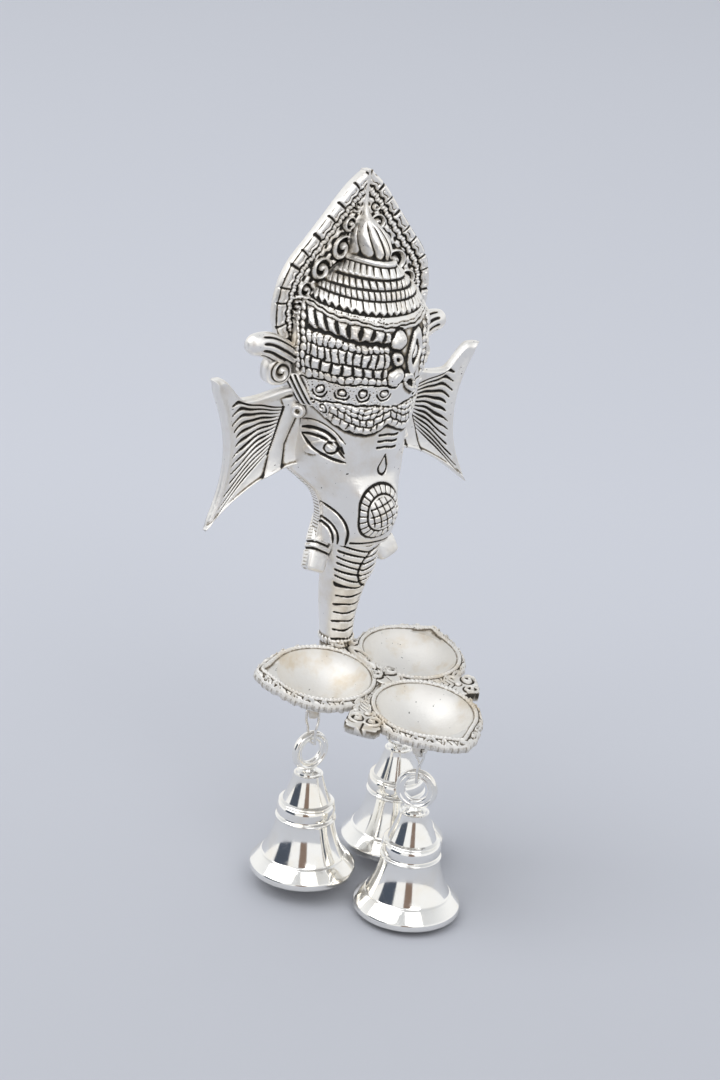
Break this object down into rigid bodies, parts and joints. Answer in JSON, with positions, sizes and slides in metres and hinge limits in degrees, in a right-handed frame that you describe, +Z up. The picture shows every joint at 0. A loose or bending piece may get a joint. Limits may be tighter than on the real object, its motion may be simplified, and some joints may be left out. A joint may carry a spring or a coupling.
{
  "type": "hanging diya",
  "caption": "Cast elephant-head wall mask whose trunk carries a tray of leaf-shaped oil bowls, with a swinging bell on a wire link under each bowl.",
  "frame": {"origin": "centre of the nail hole in the hanger plate, at its back face on the wall", "axes": "+Z up, +Y into the wall, the mask faces -Y, +X to the viewer's right"},
  "size_m": [0.101, 0.0781, 0.228],
  "materials": {
    "antique_silver": "silver-plated casting, black oxide left in the recesses, high parts buffed bright",
    "satin_silver": "silver-plated casting, satin bowls, light oxide in the rim ornament",
    "polished_silver": "silver-plated and mirror polished",
    "wire": "plated drawn wire",
    "clapper_metal": "tumbled",
    "plain_steel": "plain"
  },
  "bodies": {
    "wall_mask": {"mask": "antique_silver", "hanger_plate": "plain_steel", "hanger_rivets": "plain_steel", "diya_tray": "satin_silver", "tray_screw": "plain_steel"},
    "link_left": {"link_left": "wire"},
    "bell_left": {"loop_left": "polished_silver", "bell_left": "polished_silver", "nut_left": "plain_steel"},
    "clapper_left": {"clapper_left": "clapper_metal"},
    "link_front": {"link_front": "wire"},
    "bell_front": {"loop_front": "polished_silver", "bell_front": "polished_silver", "nut_front": "plain_steel"},
    "clapper_front": {"clapper_front": "clapper_metal"},
    "link_right": {"link_right": "wire"},
    "bell_right": {"loop_right": "polished_silver", "bell_right": "polished_silver", "nut_right": "plain_steel"},
    "clapper_right": {"clapper_right": "clapper_metal"}
  },
  "joints": [
    {"name": "link_left_sway", "type": "hinge", "parent": "wall_mask", "child": "link_left", "pos_m": [-0.01862, -0.02422, -0.13059], "axis": [-0.866, 0.5, 0], "range_deg": [-3, 3]},
    {"name": "bell_left_swing", "type": "hinge", "parent": "link_left", "child": "bell_left", "pos_m": [-0.01862, -0.02422, -0.14159], "axis": [0, 1, 0], "range_deg": [-1.2, 55]},
    {"name": "clapper_left_swing", "type": "hinge", "parent": "bell_left", "child": "clapper_left", "pos_m": [-0.01862, -0.02422, -0.16099], "axis": [0, 1, 0], "range_deg": [-19, 19]},
    {"name": "link_front_sway", "type": "hinge", "parent": "wall_mask", "child": "link_front", "pos_m": [0, -0.05623, -0.13452], "axis": [0, -1, 0], "range_deg": [-3, 3]},
    {"name": "bell_front_swing", "type": "hinge", "parent": "link_front", "child": "bell_front", "pos_m": [0, -0.05623, -0.14552], "axis": [-0.766, -0.6428, 0], "range_deg": [-1.2, 55]},
    {"name": "clapper_front_swing", "type": "hinge", "parent": "bell_front", "child": "clapper_front", "pos_m": [0, -0.05623, -0.16492], "axis": [-0.766, -0.6428, 0], "range_deg": [-19, 19]},
    {"name": "link_right_sway", "type": "hinge", "parent": "wall_mask", "child": "link_right", "pos_m": [0.01862, -0.02422, -0.13059], "axis": [0.866, 0.5, 0], "range_deg": [-3, 3]},
    {"name": "bell_right_swing", "type": "hinge", "parent": "link_right", "child": "bell_right", "pos_m": [0.01862, -0.02422, -0.14159], "axis": [0, -1, 0], "range_deg": [-1.2, 55]},
    {"name": "clapper_right_swing", "type": "hinge", "parent": "bell_right", "child": "clapper_right", "pos_m": [0.01862, -0.02422, -0.16099], "axis": [0, -1, 0], "range_deg": [-19, 19]}
  ]
}
